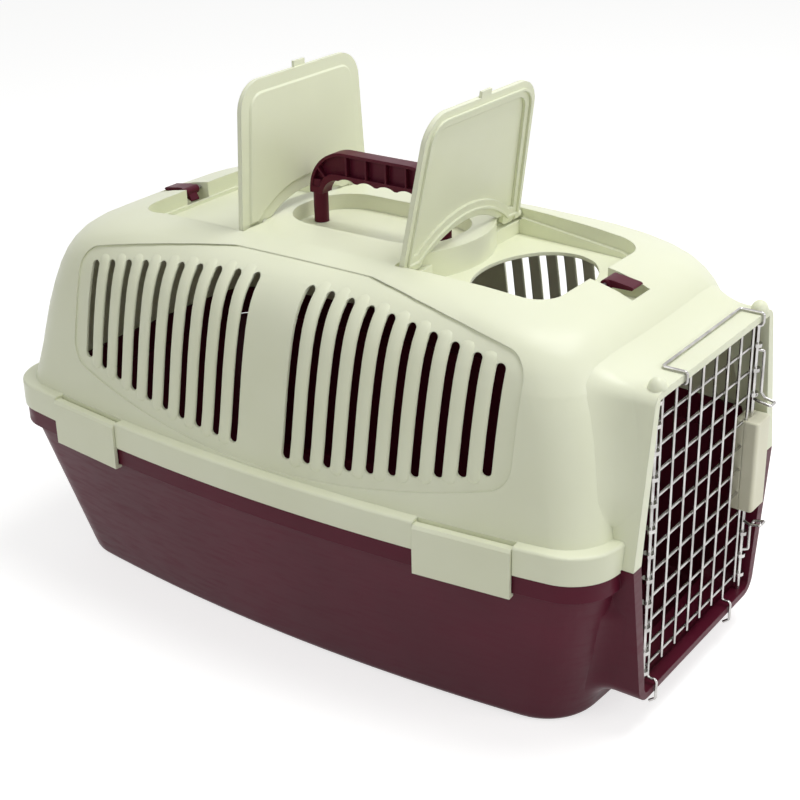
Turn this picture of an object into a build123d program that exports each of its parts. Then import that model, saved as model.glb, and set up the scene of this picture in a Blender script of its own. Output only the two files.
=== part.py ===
from build123d import *
import math
import os

os.makedirs("parts", exist_ok=True)

# Pet carrier in millimetres. X runs along the length with the door at +X, Y across, Z up.
# The origin is the middle of the footprint on the floor.

# Plan of the rim where the two halves meet
RIM_HALF_LENGTH = 305.0
RIM_HALF_WIDTH = 184.0
RIM_CORNER = 42.0
BODY_SHIFT = -4.0
SIDE_CURVE = 0.00029
END_CURVE = 0.00028
WALL = 3.0

# Heights of the two halves
RIM_BOTTOM = 152.0
RIM_TOP = 175.0
SEAM = 154.0
SEAM_GAP = 0.3
BASE_INSET_X = 38.0
BASE_INSET_Y = 38.0
BASE_CORNER = 48.0
BASE_ROUND = 9.0
BAND_BOTTOM = 136.0
BAND_INSET = 2.0
BODY_INSET = 6.5
LIP_TOP = 163.0
LIP_INSET = 4.0
SHELL_INSET = 10.0

# Heights, insets and corner radii that shape the domed top, from the rim up to the crown
DOME = (
    (175.0, 0.0, 0.0, 40.0),
    (205.0, 7.0, 7.0, 42.0),
    (245.0, 15.0, 14.5, 45.0),
    (280.0, 25.0, 23.0, 50.0),
    (300.0, 35.0, 31.0, 55.0),
    (313.0, 50.0, 41.0, 60.0),
    (322.0, 78.0, 54.0, 66.0),
    (328.0, 118.0, 72.0, 66.0),
    (331.5, 165.0, 92.0, 58.0),
)
DOME_STEPS = 2

# Door frame that stands out from the front end
FRAME_FRONT = 305.0
FRAME_LIP = 11.0
FRAME_BOTTOM = 27.0
LEDGE = 285.0
FRAME_HALF_JOINT = 121.0
FRAME_HALF_TOP = 98.5
FRAME_HALF_BOTTOM = 100.0
FRAME_TOP_CORNER = 12.0
FRAME_BOTTOM_CORNER = 16.0
OPENING_BOTTOM = 33.0
OPENING_TOP = 279.0
OPENING_HALF_TOP = 92.0
OPENING_HALF_JOINT = 109.0
OPENING_HALF_BOTTOM = 92.5
FRAME_WALL = 3.5
KNOB_RADIUS = 7.0
KNOB_HEIGHT = 8.5

# Side vents, ten slots each side of a solid pillar on both long walls
SLOTS = 10
SLOT_FIRST = 27.0
SLOT_PITCH = 19.2
SLOT_WIDTH = 8.6
SLOT_FLOOR = 187.5
SLOT_CEILING = 318.0
SLOT_FLOOR_CURVE = 0.00069
SLOT_CEILING_CURVE = 0.00054
PANEL_DEPTH = 1.2
PANEL_MARGIN = 11.0
PANEL_HALF = 219.0

# Lid compartments in the roof
HINGE_X = 79.5
HINGE_Z = 326.0
LID_SLOPE = 5.5
LID_HALF_WIDTH = 84.9
LID_GAP = 0.6
LID_REACH = 122.0
LID_HALF_END = 75.5
LID_HEEL = 3.5
LID_THICKNESS = 4.0
LID_PANEL = 1.5
LID_CORNER = 25.0
LID_TAB_HALF = 7.0
LID_TAB = 5.0
LID_TAB_THICKNESS = 2.4
LID_SEAT_GAP = 0.3
RECESS_END = 204.0
RECESS_WALL_X = 75.0
RECESS_FLOOR = 309.0
RECESS_LEDGE = 4.0
RING_X = 6.0
RING_RADIUS = 90.0
LID_ARC_GAP = 3.0
HATCH_X = 148.0
HATCH_HALF_LENGTH = 45.0
HATCH_HALF_WIDTH = 62.0
LID_PIN_RADIUS = 2.0
LID_PIN_LENGTH = 9.0
RUN_CLEAR = 0.06
KNUCKLE_RADIUS = 4.0
KNUCKLE_LENGTH = 11.0
FRONT_LID_LEAN = 10.0

# Handle and the bowl it sits in
BOWL_LENGTH = 156.0
BOWL_WIDTH = 88.0
BOWL_CORNER = 38.0
BOWL_FLOOR = 318.0
LEG_X = 62.5
LEG_RADIUS = 6.3
GRIP_TOP = 382.0
GRIP_UNDER = 358.0
GRIP_WIDTH = 13.0
GRIP_BEND = 36.0
GRIP_INNER_BEND = 17.0
GRIP_WEB = 3.0
GRIP_SKIN = 2.6
LEG_FOOT = 304.5
COLLAR_RADIUS = 8.6
COLLAR_HEIGHT = 5.0

# Lid latch levers
POCKET_START = 203.0
POCKET_END = 240.0
POCKET_HALF = 14.0
POCKET_FLOOR = 304.0
LEVER_X = 214.0
LEVER_Z = 319.0
LEVER_BARREL = 4.0
LEVER_HALF = 9.0
LEVER_REACH = 22.0
LEVER_SWING = 26.0
LEVER_DROP = 26.0
LEVER_PIN = 1.6
LEVER_NOSE = 9.3

# Side clips
CLIP_X = 192.0
CLIP_LENGTH = 80.0
CLIP_PIN_DEPTH = 5.0
CLIP_PIN_Z = 169.5
CLIP_PIN = 1.5
CLIP_KNUCKLE = 3.5
CLIP_PLATE = 3.2
CLIP_OUT = 1.7
CLIP_HOOK_TOP = 135.7
CLIP_HOOK = 3.0
CLIP_SIDE_GAP = 0.5
CLIP_EAR = 5.0

# Wire door
DOOR_X = 299.0
ROD_Y = 86.0
ROD_RADIUS = 1.8
WIRE = 1.2
WIRE_PITCH = 22.0
ROW_PITCH = 21.1
ROW_MIDDLE = 161.0
EDGE_ROW = 113.0
COLUMN_OVER = 3.6
WELD = 0.5
RING_OUTER = 4.2
RING_HEIGHT = 3.0
HOOK_X = 306.7
LOOP_X = 287.0
LOOP_Z = 286.7
SOCKET_DEPTH = 4.2

# Latch housing on the door
HOUSING_MIDDLE = 154.0
HOUSING_HALF_HEIGHT = 40.0
HOUSING_BACK = 290.0
HOUSING_FRONT = 311.0
HOUSING_INNER_Y = 73.0
HOUSING_OUTER_Y = 98.0
HOUSING_SPLIT = 0.15
CHAMBER_RADIUS = 4.4
SPRING_RADIUS = 3.1
SPRING_WIRE = 0.5
SPRING_TURNS = 7
LOOP_HEIGHT = 54.0
TAIL_UPPER = 43.5
TAIL_LOWER = 29.4


def mirror_x(shape):
    return mirror(shape, Plane.YZ)


def mirror_y(shape):
    return mirror(shape, Plane.XZ)


def bowed(inset_x, inset_y, corner):
    """Rounded plan outline with softly bowed sides, shrunk by the two insets."""
    hx = RIM_HALF_LENGTH - inset_x
    hy = RIM_HALF_WIDTH - inset_y
    cx = hx - END_CURVE * hy * hy
    cy = hy - SIDE_CURVE * cx * cx
    outline = Curve() + [
        ThreePointArc((cx, cy), (0, hy), (-cx, cy)),
        ThreePointArc((-cx, cy), (-hx, 0), (-cx, -cy)),
        ThreePointArc((-cx, -cy), (0, -hy), (cx, -cy)),
        ThreePointArc((cx, -cy), (hx, 0), (cx, cy)),
    ]
    face = make_face(outline)
    return fillet(face.vertices(), corner)


def slab(inset, corner, low, high):
    """Upright block of the plan outline between two heights."""
    return Pos(BODY_SHIFT, 0, low) * extrude(bowed(inset, inset, corner), high - low)


def dome_rows():
    """DOME with rows added between its own, on a smooth curve through them."""
    rows = []
    for n in range(len(DOME) - 1):
        before = DOME[max(n - 1, 0)]
        first = DOME[n]
        last = DOME[n + 1]
        after = DOME[min(n + 2, len(DOME) - 1)]
        for step in range(DOME_STEPS):
            t = step / DOME_STEPS
            row = []
            for p, q, r, s in zip(before, first, last, after):
                bend = (2 * p - 5 * q + 4 * r - s) * t * t + (3 * q - p - 3 * r + s) * t * t * t
                row.append(q + ((r - p) * t + bend) / 2)
            rows.append(row)
    rows.append(DOME[-1])
    return rows


def dome(extra, drop):
    """Domed upper body, shrunk by extra and lowered by drop."""
    faces = []
    for height, inset_x, inset_y, corner in dome_rows():
        face = bowed(SHELL_INSET + inset_x + extra, SHELL_INSET + inset_y + extra, corner - extra)
        faces.append(Pos(BODY_SHIFT, 0, height - drop) * face)
    return loft(faces, ruled=True)


def side_view(points, x):
    """Face on a plane across the carrier from points given as width and height."""
    return Plane(origin=(x, 0, 0), x_dir=(0, 1, 0), z_dir=(1, 0, 0)) * make_face(Polyline(*points, close=True))


def frame_block(low, high, start, end, grow):
    """Barrel-shaped door frame outline between two heights, grown outward by grow."""
    def half(height):
        if height >= SEAM:
            share = (height - SEAM) / (LEDGE - SEAM)
            return FRAME_HALF_JOINT + (FRAME_HALF_TOP - FRAME_HALF_JOINT) * share + grow
        share = (SEAM - height) / (SEAM - FRAME_BOTTOM)
        return FRAME_HALF_JOINT + (FRAME_HALF_BOTTOM - FRAME_HALF_JOINT) * share + grow
    points = [(half(high), high), (-half(high), high), (-half(low), low), (half(low), low)]
    return extrude(side_view(points, start), end - start)


def box(x0, x1, y0, y1, z0, z1):
    return Pos((x0 + x1) / 2, (y0 + y1) / 2, (z0 + z1) / 2) * Box(x1 - x0, y1 - y0, z1 - z0)


def tapered(start, end, half_start, half_end, z0, z1, corner):
    """Upright block that narrows along X, with rounded corners at its far end."""
    outline = make_face(Polyline((start, half_start), (start, -half_start), (end, -half_end), (end, half_end), close=True))
    block = Pos(0, 0, z0) * extrude(outline, z1 - z0)
    return fillet(block.edges().filter_by(Axis.Z).sort_by(Axis.X)[2:4], corner)


def upright(radius, x, y, z0, z1):
    return Pos(x, y, (z0 + z1) / 2) * Cylinder(radius, z1 - z0)


def across(radius, x, z, y0, y1):
    return Pos(x, (y0 + y1) / 2, z) * Rot(90, 0, 0) * Cylinder(radius, y1 - y0)


def clip_place(sign_x, sign_y):
    """Frame of one side clip, local X along the rim and local Y outward."""
    slope = math.degrees(math.atan(2 * SIDE_CURVE * CLIP_X))
    rim_y = RIM_HALF_WIDTH - SIDE_CURVE * (CLIP_X - BODY_SHIFT * sign_x) ** 2
    turn = -slope * sign_x * sign_y
    if sign_y < 0:
        turn = turn + 180
    return Pos(sign_x * CLIP_X, sign_y * rim_y, 0) * Rot(0, 0, turn)


CORNERS = {
    "clip_back_near": (-1, -1),
    "clip_front_near": (1, -1),
    "clip_back_far": (-1, 1),
    "clip_front_far": (1, 1),
}

# Bottom tub
base_face = Pos(BODY_SHIFT, 0, 0) * bowed(BASE_INSET_X, BASE_INSET_Y, BASE_CORNER)
band_face = Pos(BODY_SHIFT, 0, BAND_BOTTOM) * bowed(BODY_INSET, BODY_INSET, RIM_CORNER)
tub_body = loft([base_face, band_face])
tub_body = fillet(tub_body.faces().sort_by(Axis.Z)[0].edges(), BASE_ROUND)
inner_low = Pos(BODY_SHIFT, 0, WALL) * bowed(BASE_INSET_X + WALL, BASE_INSET_Y + WALL, BASE_CORNER - WALL)
inner_high = Pos(BODY_SHIFT, 0, BAND_BOTTOM + 0.5) * bowed(BODY_INSET + WALL, BODY_INSET + WALL, RIM_CORNER - WALL)
tub_inner = loft([inner_low, inner_high])
tub_inner = fillet(tub_inner.faces().sort_by(Axis.Z)[0].edges(), BASE_ROUND - WALL)
band_top = RIM_BOTTOM - SEAM_GAP
band = slab(BAND_INSET, RIM_CORNER - BAND_INSET, BAND_BOTTOM, band_top)
lip = slab(LIP_INSET, RIM_CORNER - LIP_INSET, band_top, LIP_TOP)
tub_top_cut = slab(LIP_INSET + WALL, RIM_CORNER - LIP_INSET - WALL, BAND_BOTTOM, LIP_TOP + 1)
neck_low = frame_block(FRAME_BOTTOM, SEAM - SEAM_GAP, 225, FRAME_FRONT, 0)
neck_low_edges = neck_low.edges().filter_by(Axis.X).sort_by(Axis.Z)[0:2]
neck_low = fillet(neck_low_edges, FRAME_BOTTOM_CORNER)
lip = lip - box(250, 320, -FRAME_HALF_JOINT - 1.5, FRAME_HALF_JOINT + 1.5, SEAM - SEAM_GAP, LIP_TOP + 1)
tub_outer = tub_body + band + lip + neck_low

opening_points = [
    (OPENING_HALF_TOP, OPENING_TOP),
    (-OPENING_HALF_TOP, OPENING_TOP),
    (-OPENING_HALF_JOINT, SEAM),
    (-OPENING_HALF_BOTTOM, OPENING_BOTTOM),
    (OPENING_HALF_BOTTOM, OPENING_BOTTOM),
    (OPENING_HALF_JOINT, SEAM),
]
opening = extrude(side_view(opening_points, 280), 40)
opening = fillet(opening.edges().filter_by(Axis.X).sort_by(Axis.Z)[0:2], 6)
neck_room_low = frame_block(FRAME_BOTTOM + FRAME_WALL, SEAM, 200, FRAME_FRONT - FRAME_LIP, -FRAME_WALL)
neck_room_low = fillet(neck_room_low.edges().filter_by(Axis.X).sort_by(Axis.Z)[0:2], FRAME_BOTTOM_CORNER - FRAME_WALL)
tub = tub_outer - tub_inner - tub_top_cut - neck_room_low - opening
for y in (-ROD_Y, ROD_Y):
    tub = tub - upright(ROD_RADIUS + RUN_CLEAR, DOOR_X, y, OPENING_BOTTOM - SOCKET_DEPTH, OPENING_BOTTOM + 1)

# Top shell
skirt = slab(0, RIM_CORNER, RIM_BOTTOM, RIM_TOP)
skirt = fillet(skirt.faces().sort_by(Axis.Z)[-1].edges(), 2.5)
neck_high = frame_block(SEAM, LEDGE, 225, FRAME_FRONT, 0)
neck_high = fillet(neck_high.edges().filter_by(Axis.X).sort_by(Axis.Z)[2:4], FRAME_TOP_CORNER)
shell_outer = skirt + dome(0, 0) + neck_high
shell_inner = dome(WALL, WALL)
room_half = FRAME_FRONT - FRAME_LIP
neck_room_high = frame_block(SEAM - 1, OPENING_TOP, 200, room_half, -FRAME_WALL)
neck_room_high = fillet(neck_room_high.edges().filter_by(Axis.X).sort_by(Axis.Z)[2:4], FRAME_TOP_CORNER - FRAME_WALL)
channel = slab(WALL, RIM_CORNER - WALL, RIM_BOTTOM - 1, RIM_TOP - WALL)

block_end = RECESS_END + WALL
block_half = LID_HALF_WIDTH + LID_GAP + 6.5
recess_block = box(RECESS_WALL_X - WALL, block_end, -block_half, block_half, RECESS_FLOOR - WALL, 345)
recess_block = recess_block - upright(RING_RADIUS - WALL, RING_X, 0, 290, 350)
latch_block = box(RECESS_END - 2, POCKET_END + WALL, -POCKET_HALF - 5, POCKET_HALF + 5, POCKET_FLOOR - WALL, 343)
bowl_block = Pos(0, 0, BOWL_FLOOR - WALL) * extrude(
    RectangleRounded(BOWL_LENGTH + 2 * WALL, BOWL_WIDTH + 2 * WALL, BOWL_CORNER + WALL), 40
)
side_block = recess_block + latch_block
skin = dome(WALL / 2, WALL / 2)

pocket_half = LID_HALF_WIDTH + LID_GAP
ledge_drop = LID_THICKNESS / 2 + LID_SEAT_GAP
pocket_end = LID_HALF_END + LID_GAP
pocket_plan = tapered(RECESS_WALL_X, RECESS_END, pocket_half, pocket_end, 290, 350, LID_CORNER + LID_GAP)
pocket_plan = pocket_plan - upright(RING_RADIUS, RING_X, 0, 280, 360)
above_ledge = Pos(HINGE_X, 0, HINGE_Z) * Rot(0, LID_SLOPE, 0) * box(-60, 200, -100, 100, -ledge_drop, 80)
trough = box(RECESS_WALL_X, HINGE_X + 5.5, -pocket_half, pocket_half, HINGE_Z - KNUCKLE_RADIUS - 1.2, 350)
trough = trough - upright(RING_RADIUS, RING_X, 0, 280, 360)
deep_plan = tapered(RECESS_WALL_X + 8, RECESS_END - RECESS_LEDGE, pocket_half - RECESS_LEDGE,
                    pocket_end - RECESS_LEDGE, RECESS_FLOOR, 350, LID_CORNER - RECESS_LEDGE)
deep_plan = deep_plan - upright(RING_RADIUS, RING_X, 0, 280, 360)
hatch = Pos(HATCH_X, 0, RECESS_FLOOR - WALL - 2) * extrude(Ellipse(HATCH_HALF_LENGTH, HATCH_HALF_WIDTH), WALL + 4)
latch_pocket = box(POCKET_START, POCKET_END, -POCKET_HALF, POCKET_HALF, POCKET_FLOOR, 350)
latch_bore = across(LEVER_PIN, LEVER_X, LEVER_Z, -POCKET_HALF - 3.2, POCKET_HALF + 3.2)
compartment = (pocket_plan & above_ledge) + trough + deep_plan + latch_pocket + latch_bore
for y in (-1, 1):
    compartment = compartment + across(LID_PIN_RADIUS, HINGE_X, HINGE_Z, y * pocket_half - 4.5, y * pocket_half + 4.5)
bowl = Pos(0, 0, BOWL_FLOOR) * extrude(RectangleRounded(BOWL_LENGTH, BOWL_WIDTH, BOWL_CORNER), 40)

slots = []
for n in range(SLOTS):
    x = SLOT_FIRST + n * SLOT_PITCH
    low = SLOT_FLOOR + SLOT_FLOOR_CURVE * x * x
    high = SLOT_CEILING - SLOT_CEILING_CURVE * x * x
    face = Pos(x, (low + high) / 2) * SlotOverall(high - low, SLOT_WIDTH, rotation=90)
    for side in (-1, 1):
        cut = extrude(Plane(origin=(0, side * 105, 0), x_dir=(1, 0, 0), z_dir=(0, -1, 0)) * face, -side * 95)
        slots.append(cut)
        slots.append(mirror_x(cut))
panel_points = []
for n in range(-6, 7):
    x = PANEL_HALF * n / 6
    panel_points.append((x, SLOT_CEILING - SLOT_CEILING_CURVE * x * x + PANEL_MARGIN))
panel_low = []
for n in range(6, -7, -1):
    x = PANEL_HALF * n / 6
    panel_low.append((x, SLOT_FLOOR + SLOT_FLOOR_CURVE * x * x - PANEL_MARGIN))
panel_line = Curve() + [
    Spline(*panel_points),
    Line(panel_points[-1], panel_low[0]),
    Spline(*panel_low),
    Line(panel_low[-1], panel_points[0]),
]
panel_face = fillet(make_face(panel_line).vertices(), 22)
panel = extrude(Plane.XZ * panel_face, 220, both=True) - box(-300, 300, -105, 105, 100, 400)
panel = panel - dome(PANEL_DEPTH, PANEL_DEPTH / 2)

shell = shell_outer - channel - shell_inner - neck_room_high - opening
for block in (side_block, mirror_x(side_block), bowl_block):
    shell = shell + (block & skin)
shell = shell - box(200, 320, -FRAME_HALF_JOINT - 1.2, FRAME_HALF_JOINT + 1.2, RIM_BOTTOM - 2, SEAM)
shell = shell - panel
shell = shell - slots
for cut in (compartment, mirror_x(compartment), hatch, bowl):
    shell = shell - cut
for x in (-LEG_X, LEG_X):
    shell = shell - upright(LEG_RADIUS + RUN_CLEAR, x, 0, BOWL_FLOOR - WALL - 2, BOWL_FLOOR + 2)
for y in (-ROD_Y, ROD_Y):
    knob = Pos(DOOR_X, y, LEDGE - 0.5) * scale(Sphere(KNOB_RADIUS), (1, 1, KNOB_HEIGHT / KNOB_RADIUS))
    knob = knob & box(DOOR_X - 10, DOOR_X + 10, y - 10, y + 10, LEDGE - 1, LEDGE + 20)
    shell = shell + knob
    shell = shell - upright(ROD_RADIUS + RUN_CLEAR, DOOR_X, y, OPENING_TOP - 1, LEDGE + SOCKET_DEPTH + 1)
for place in CORNERS.values():
    at = clip_place(*place)
    half = CLIP_LENGTH / 2 + CLIP_SIDE_GAP
    ears = box(-half - CLIP_EAR, half + CLIP_EAR, -SHELL_INSET - 0.5, -WALL + 0.5, CLIP_PIN_Z - 4, RIM_TOP - 1)
    gap = box(-half, half, -CLIP_PIN_DEPTH - CLIP_KNUCKLE - 0.8, 6, RIM_BOTTOM - 2, RIM_TOP + 1)
    bore = Pos(0, -CLIP_PIN_DEPTH, CLIP_PIN_Z) * Rot(0, 90, 0) * Cylinder(CLIP_PIN, CLIP_LENGTH + 8)
    shell = shell + at * ears
    shell = shell - at * gap
    shell = shell - at * bore

# Clips and their pins
clip_profile = [
    (-CLIP_PIN_DEPTH, CLIP_PIN_Z + CLIP_KNUCKLE),
    (CLIP_OUT - 2.0, CLIP_PIN_Z + CLIP_KNUCKLE),
    (CLIP_OUT, CLIP_PIN_Z + CLIP_KNUCKLE - 2.5),
    (CLIP_OUT, CLIP_HOOK_TOP - CLIP_HOOK),
    (CLIP_OUT - CLIP_PLATE - 3.0, CLIP_HOOK_TOP - CLIP_HOOK),
    (CLIP_OUT - CLIP_PLATE - 3.6, CLIP_HOOK_TOP),
    (CLIP_OUT - CLIP_PLATE, CLIP_HOOK_TOP),
    (CLIP_OUT - CLIP_PLATE, CLIP_PIN_Z),
    (-CLIP_PIN_DEPTH, CLIP_PIN_Z),
]
clip_face = make_face(Polyline(*clip_profile, close=True))
clip = Pos(-CLIP_LENGTH / 2, 0, 0) * extrude(Plane(origin=(0, 0, 0), x_dir=(0, 1, 0), z_dir=(1, 0, 0)) * clip_face, CLIP_LENGTH)
clip = clip + Pos(0, -CLIP_PIN_DEPTH, CLIP_PIN_Z) * Rot(0, 90, 0) * Cylinder(CLIP_KNUCKLE, CLIP_LENGTH)
clip = clip - Pos(0, -CLIP_PIN_DEPTH, CLIP_PIN_Z) * Rot(0, 90, 0) * Cylinder(CLIP_PIN + RUN_CLEAR, CLIP_LENGTH + 2)
clip_pin = Pos(0, -CLIP_PIN_DEPTH, CLIP_PIN_Z) * Rot(0, 90, 0) * Cylinder(CLIP_PIN - 0.02, CLIP_LENGTH + 7)
clips = {}
clip_pins = []
for name, place in CORNERS.items():
    at = clip_place(*place)
    clips[name] = at * clip
    clip_pins.append(at * clip_pin)

# Lid, built closed and level around its hinge axis, then swung to its pose
def lid_form(margin, low, high):
    """Lid outline shrunk by a margin on its sides and far end, clear of the ring by the same margin."""
    block = tapered(-LID_HEEL + margin, LID_REACH - margin, LID_HALF_WIDTH - margin, LID_HALF_END - margin,
                    low, high, LID_CORNER - margin)
    return block - Pos(RING_X - HINGE_X, 0, 0) * Cylinder(RING_RADIUS + LID_ARC_GAP + margin, 30)


lid_back_face = -LID_THICKNESS / 2
lid_plan = lid_form(0, lid_back_face, -lid_back_face)
raised = lid_form(10, 0, -lid_back_face + LID_PANEL)
raised = chamfer(raised.faces().sort_by(Axis.Z)[-1].edges(), 1.2)
lid = lid_plan + raised
lid = lid + (lid_form(5.5, lid_back_face - 2, 0) - lid_form(7.5, lid_back_face - 3, 0))
lid = lid - lid_form(13, lid_back_face - 1, LID_PANEL - 0.8)
ring_step = math.sqrt(RING_RADIUS ** 2 - (RECESS_WALL_X - RING_X) ** 2)
lid = lid - box(-LID_HEEL - 1, 6.2, -ring_step - 0.4, ring_step + 0.4, -10, 10)
tab = box(LID_REACH - 4, LID_REACH + LID_TAB, -LID_TAB_HALF, LID_TAB_HALF, -LID_THICKNESS / 2, -LID_THICKNESS / 2 + LID_TAB_THICKNESS)
lid = lid + tab
for y in (-1, 1):
    knuckle = Rot(90, 0, 0) * Cylinder(KNUCKLE_RADIUS, KNUCKLE_LENGTH)
    lid = lid + Pos(0, y * (LID_HALF_WIDTH - KNUCKLE_LENGTH / 2), 0) * knuckle
for y in (-1, 1):
    lid = lid - across(LID_PIN_RADIUS + RUN_CLEAR, 0, 0, y * LID_HALF_WIDTH - 6, y * LID_HALF_WIDTH + 6)
lid_front = Pos(HINGE_X, 0, HINGE_Z) * Rot(0, -(90 - FRONT_LID_LEAN), 0) * lid
lid_back = mirror_x(Pos(HINGE_X, 0, HINGE_Z) * Rot(0, -90, 0) * lid)
lid_pins = []
for x in (-HINGE_X, HINGE_X):
    for y in (-1, 1):
        middle = y * (LID_HALF_WIDTH - 5 + LID_PIN_LENGTH / 2)
        lid_pins.append(across(LID_PIN_RADIUS, x, HINGE_Z, middle - LID_PIN_LENGTH / 2, middle + LID_PIN_LENGTH / 2))

# Handle
outer = box(-LEG_X - LEG_RADIUS, LEG_X + LEG_RADIUS, -GRIP_WIDTH / 2, GRIP_WIDTH / 2, GRIP_UNDER - 14, GRIP_TOP)
outer = fillet(outer.edges().filter_by(Axis.Y).sort_by(Axis.Z)[2:4], GRIP_BEND)
inner_half = LEG_X - LEG_RADIUS
inside = box(-inner_half, inner_half, -20, 20, GRIP_UNDER - 30, GRIP_UNDER)
inside = fillet(inside.edges().filter_by(Axis.Y).sort_by(Axis.Z)[2:4], GRIP_INNER_BEND)
handle = outer - inside
for n in range(4):
    handle = handle - across(16, -30 + 20 * n, GRIP_UNDER - 13.6, -20, 20)
room_half = LEG_X + LEG_RADIUS - GRIP_SKIN
room = box(-room_half, room_half, -GRIP_WIDTH, GRIP_WIDTH, GRIP_UNDER - 14, GRIP_TOP - GRIP_SKIN)
room = fillet(room.edges().filter_by(Axis.Y).sort_by(Axis.Z)[2:4], GRIP_BEND - GRIP_SKIN)
core_half = inner_half + GRIP_SKIN
core = box(-core_half, core_half, -GRIP_WIDTH - 1, GRIP_WIDTH + 1, GRIP_UNDER - 20, GRIP_UNDER + GRIP_SKIN + 2.4)
core = fillet(core.edges().filter_by(Axis.Y).sort_by(Axis.Z)[2:4], GRIP_INNER_BEND)
room = room - core - box(-room_half, room_half, -GRIP_WIDTH, GRIP_WIDTH, GRIP_UNDER - 20, GRIP_UNDER - 8)
for x in (-30, -10, 10, 30):
    room = room - box(x - 0.8, x + 0.8, -GRIP_WIDTH, GRIP_WIDTH, GRIP_UNDER - 20, GRIP_TOP)
for side in (-1, 1):
    spoke = Pos(side * (LEG_X - 21), 0, GRIP_UNDER - 12) * Rot(0, side * 42, 0) * Box(1.6, 40, 90)
    room = room - spoke
room = room - box(-room_half, room_half, -GRIP_WEB / 2, GRIP_WEB / 2, GRIP_UNDER - 20, GRIP_TOP)
handle = handle - room
for x in (-LEG_X, LEG_X):
    handle = handle + upright(LEG_RADIUS, x, 0, LEG_FOOT, GRIP_UNDER - 2)
    handle = handle - upright(LEG_RADIUS + 1, x, 0, LEG_FOOT - 1, LEG_FOOT + 6.3) + upright(4.2, x, 0, LEG_FOOT, LEG_FOOT + 6.5)
collar_top = BOWL_FLOOR - WALL - 0.4
collar = upright(COLLAR_RADIUS, 0, 0, collar_top - COLLAR_HEIGHT, collar_top)
collar = collar - upright(4.25, 0, 0, collar_top - COLLAR_HEIGHT - 1, collar_top - 3.8)
collar = collar - upright(LEG_RADIUS + 0.03, 0, 0, collar_top - 3.9, collar_top + 1)
collar = chamfer(collar.faces().sort_by(Axis.Z)[0].edges(), 0.6)

# Latch lever, pin and pocket share the same pivot
lever = across(LEVER_BARREL, 0, 0, -LEVER_HALF, LEVER_HALF)
arm_points = [(0, 4.0), (6, 4.0), (LEVER_REACH, 1.6), (LEVER_REACH + 1.5, 0.4), (LEVER_REACH, -1.2), (6, -1.6), (0, -4.0)]
arm = extrude(Plane(origin=(0, LEVER_HALF - 1.5, 0), x_dir=(1, 0, 0), z_dir=(0, -1, 0)) * make_face(Polyline(*arm_points, close=True)), 2 * LEVER_HALF - 3)
lever = lever + Rot(0, LEVER_DROP, 0) * arm
nose_points = [(0.0, 0.0), (-3.5, 0.5), (-LEVER_NOSE + 2.0, -2.0), (-LEVER_NOSE, -3.4), (-LEVER_NOSE, -4.4), (-3.0, -4.4)]
nose_face = make_face(Polyline(*nose_points, close=True))
nose = extrude(Plane(origin=(0, LEVER_HALF - 4, 0), x_dir=(1, 0, 0), z_dir=(0, -1, 0)) * nose_face, 2 * LEVER_HALF - 8)
lever = lever + nose
lever = lever - across(LEVER_PIN + RUN_CLEAR, 0, 0, -LEVER_HALF - 1, LEVER_HALF + 1)
lever_front = Pos(LEVER_X, 0, LEVER_Z) * Rot(0, -LEVER_SWING, 0) * lever
lever_pin = across(LEVER_PIN - 0.02, LEVER_X, LEVER_Z, -POCKET_HALF - 3, POCKET_HALF + 3)

# Wire door: welded grid, loops that run on the rods, and the hooks over both lips
rows = [ROW_MIDDLE + side * EDGE_ROW for side in (-1, 1)]
for n in range(10):
    rows.append(ROW_MIDDLE + (n - 4.5) * ROW_PITCH)
columns = [(n - 3.5) * WIRE_PITCH for n in range(8)]
hooked_low = (columns[0], columns[6])
hooked_high = (columns[1], columns[7])
grid_low = ROW_MIDDLE - EDGE_ROW - COLUMN_OVER
grid_high = ROW_MIDDLE + EDGE_ROW + COLUMN_OVER
housing_low = HOUSING_MIDDLE - HOUSING_HALF_HEIGHT
housing_high = HOUSING_MIDDLE + HOUSING_HALF_HEIGHT
wires = []
hook_start = ROW_MIDDLE + EDGE_ROW - WIRE - 1.5
for y in columns:
    wires.append(upright(WIRE, DOOR_X, y, grid_low, hook_start if y in hooked_high else grid_high))
row_x = DOOR_X - 2 * WIRE + WELD
for z in rows:
    held = housing_low < z < housing_high
    far_end = ROD_Y - 4 if held else ROD_Y - ROD_RADIUS - RUN_CLEAR - 0.6
    near_end = -ROD_Y + ROD_RADIUS + RUN_CLEAR + 0.6
    wires.append(across(WIRE, row_x, z, near_end, far_end))
    ring = Cylinder(RING_OUTER, RING_HEIGHT) - Cylinder(ROD_RADIUS + RUN_CLEAR, RING_HEIGHT + 1)
    wires.append(Pos(DOOR_X, -ROD_Y, z) * ring)
    beside_loop = housing_low - 12 < z < housing_low
    if not held and not beside_loop:
        wires.append(Pos(DOOR_X, ROD_Y, z) * ring)


def bent_wire(points, bend, radius):
    """Round wire along a bent line of straight runs."""
    path = FilletPolyline(*points, radius=bend)
    start = Plane(origin=path @ 0, z_dir=path % 0)
    return sweep(start * Circle(radius), path=path)


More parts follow.
